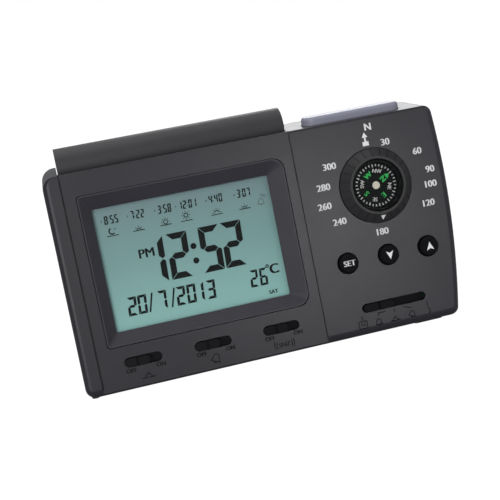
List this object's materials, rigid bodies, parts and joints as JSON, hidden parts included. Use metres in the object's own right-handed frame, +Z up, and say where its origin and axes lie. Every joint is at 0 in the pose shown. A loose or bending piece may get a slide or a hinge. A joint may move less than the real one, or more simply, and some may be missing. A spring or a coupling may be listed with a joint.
{
  "type": "azan clock",
  "caption": "Leaning desk clock with a wide display, slide switches, a compass dial with a turning ring, push buttons, a top button and a fold-out rear stand.",
  "frame": {"origin": "middle of the bounding box's lower face, on the surface that the clock stands on", "axes": "+X to the right along the panel as seen by the user, +Y from the front panel to the back, +Z up"},
  "size_m": [0.1504, 0.0381, 0.0897],
  "materials": {
    "board_green": "solder mask on glass fibre board",
    "button_black": "satin black plastic",
    "can_metal": "tinned can",
    "card_black": "printed card, green and cream marks",
    "case_black": "fine textured dark charcoal plastic",
    "cell_wrap": "plain printed cell wrap",
    "chip_black": "sealing resin",
    "clear_window": "clear polished acrylic",
    "compass_black": "black plastic",
    "contact_metal": "nickel plated spring brass",
    "cover_black": "textured dark plastic",
    "dial_black": "satin black plastic with engraved ticks",
    "display_teal": "grey-green liquid crystal glass",
    "felt": "felt ring",
    "frame_black": "satin charcoal plastic",
    "keypad_grey": "silicone rubber",
    "knob_black": "satin black plastic",
    "light_white": "milky light guide",
    "magnet_grey": "ferrite",
    "paper_cone": "black paper cone",
    "rubber_black": "soft black rubber",
    "snooze_grey": "smooth light purple-grey plastic",
    "stand_black": "fine textured dark charcoal plastic",
    "steel": "zinc plated steel",
    "strip_rubber": "striped contact rubber"
  },
  "bodies": {
    "case": {"batteries": "cell_wrap", "battery_contacts": "contact_metal", "battery_springs": "steel", "board_screws": "steel", "case_screws": "steel", "chip_resistors": "chip_black", "compass_base": "compass_black", "compass_lens": "clear_window", "compass_pivot": "steel", "contact_strip": "strip_rubber", "controller_chip": "chip_black", "dial_retainer": "cover_black", "dial_screws": "steel", "display_frame": "frame_black", "display_glass": "display_teal", "display_lens": "clear_window", "foot_pads": "rubber_black", "front_case": "case_black", "function_switch": "can_metal", "key_board": "board_green", "key_screws": "steel", "keypad": "keypad_grey", "light_guide": "light_white", "main_board": "board_green", "rear_case": "case_black", "slide_switches": "can_metal", "snooze_board": "board_green", "snooze_switch": "chip_black", "speaker_cone": "paper_cone", "speaker_frame": "steel", "speaker_gasket": "felt", "speaker_magnet": "magnet_grey", "stand_pins": "steel", "thermistor": "chip_black", "timing_crystal": "can_metal", "voice_memory": "chip_black"},
    "stand": {"stand_leg": "stand_black", "stand_pad": "rubber_black"},
    "cover": {"battery_cover": "cover_black"},
    "set_button": {"set_button": "button_black"},
    "down_button": {"down_button": "button_black"},
    "up_button": {"up_button": "button_black"},
    "snooze_button": {"snooze_button": "snooze_grey"},
    "azan_knob": {"azan_knob": "knob_black"},
    "alarm_knob": {"alarm_knob": "knob_black"},
    "snooze_knob": {"snooze_knob": "knob_black"},
    "function_knob": {"function_knob": "knob_black"},
    "dial": {"dial_ring": "dial_black"},
    "compass_card": {"compass_card": "card_black", "compass_magnet": "steel"}
  },
  "joints": [
    {"name": "stand_hinge", "type": "hinge", "parent": "case", "child": "stand", "pos_m": [0, 0.00552, 0.07837], "axis": [1, 0, 0], "range_deg": [0, 18]},
    {"name": "cover_slide", "type": "slide", "parent": "case", "child": "cover", "axis": [0, 0.1771, 0.9842], "range_m": [0, 0.03]},
    {"name": "set_press", "type": "slide", "parent": "case", "child": "set_button", "axis": [0, 0.9842, -0.1771], "range_m": [0, 0.001], "stiffness_N_per_m": 400, "springref_m": -0.0003},
    {"name": "down_press", "type": "slide", "parent": "case", "child": "down_button", "axis": [0, 0.9842, -0.1771], "range_m": [0, 0.001], "stiffness_N_per_m": 400, "springref_m": -0.0003},
    {"name": "up_press", "type": "slide", "parent": "case", "child": "up_button", "axis": [0, 0.9842, -0.1771], "range_m": [0, 0.001], "stiffness_N_per_m": 400, "springref_m": -0.0003},
    {"name": "snooze_press", "type": "slide", "parent": "case", "child": "snooze_button", "axis": [0, 0, -1], "range_m": [0, 0.0012], "stiffness_N_per_m": 500, "springref_m": -0.0005},
    {"name": "azan_switch", "type": "slide", "parent": "case", "child": "azan_knob", "axis": [1, 0, 0], "range_m": [0, 0.0043]},
    {"name": "alarm_switch", "type": "slide", "parent": "case", "child": "alarm_knob", "axis": [1, 0, 0], "range_m": [0, 0.0043]},
    {"name": "snooze_switch", "type": "slide", "parent": "case", "child": "snooze_knob", "axis": [1, 0, 0], "range_m": [0, 0.0043]},
    {"name": "function_select", "type": "slide", "parent": "case", "child": "function_knob", "axis": [1, 0, 0], "range_m": [0, 0.0124]},
    {"name": "dial_turn", "type": "hinge", "parent": "case", "child": "dial", "pos_m": [0.0463, -0.00971, 0.05581], "axis": [0, 0.9842, -0.1771], "continuous": true},
    {"name": "card_swing", "type": "hinge", "parent": "case", "child": "compass_card", "pos_m": [0.0463, -0.00971, 0.05581], "axis": [0, 0.9842, -0.1771], "continuous": true}
  ]
}
